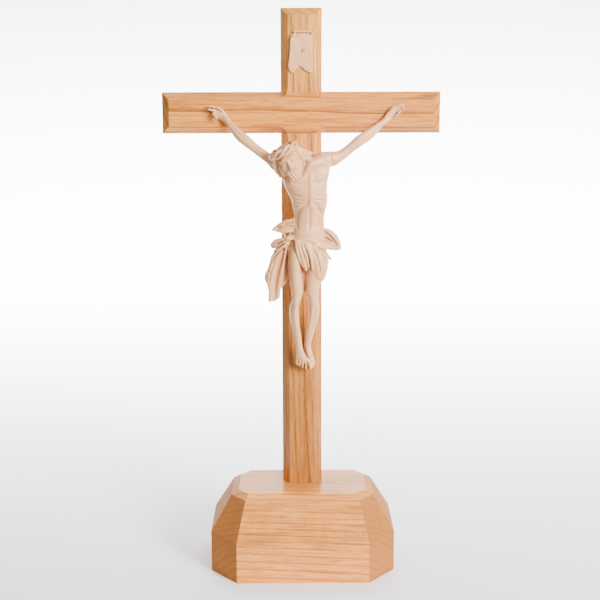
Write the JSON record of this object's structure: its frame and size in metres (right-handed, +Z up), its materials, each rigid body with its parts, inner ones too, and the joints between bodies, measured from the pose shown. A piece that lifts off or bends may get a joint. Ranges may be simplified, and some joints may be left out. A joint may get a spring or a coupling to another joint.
{
  "type": "standing altar crucifix",
  "caption": "Standing crucifix: bevelled oak cross on a faceted pedestal, with a carved pale-wood corpus in a knotted loincloth and a small bare scroll above the head.",
  "frame": {"origin": "under the middle of the pedestal, on the surface it stands on", "axes": "+Z up along the cross, +X to the viewer's right, the front looks along -Y"},
  "size_m": [0.146, 0.074, 0.3],
  "materials": {
    "oak_pedestal": "satin-varnished oak",
    "oak_upright": "satin-varnished oak",
    "oak_crossbeam": "satin-varnished oak",
    "carving_wood": "pale carved maple, waxed",
    "dowel_wood": "plain beech",
    "brass_pin": "dulled brass",
    "steel": "zinc-plated steel"
  },
  "bodies": {
    "root": {"pedestal_block": "oak_pedestal", "upright": "oak_upright", "crossbeam": "oak_crossbeam", "corpus_body": "carving_wood", "corpus_right_arm": "carving_wood", "corpus_left_arm": "carving_wood", "titulus_scroll": "carving_wood", "shoulder_dowels": "dowel_wood", "titulus_pin": "brass_pin", "corpus_pins": "steel", "corpus_screw": "steel", "pedestal_screw": "steel", "pedestal_washer": "steel"}
  },
  "joints": []
}
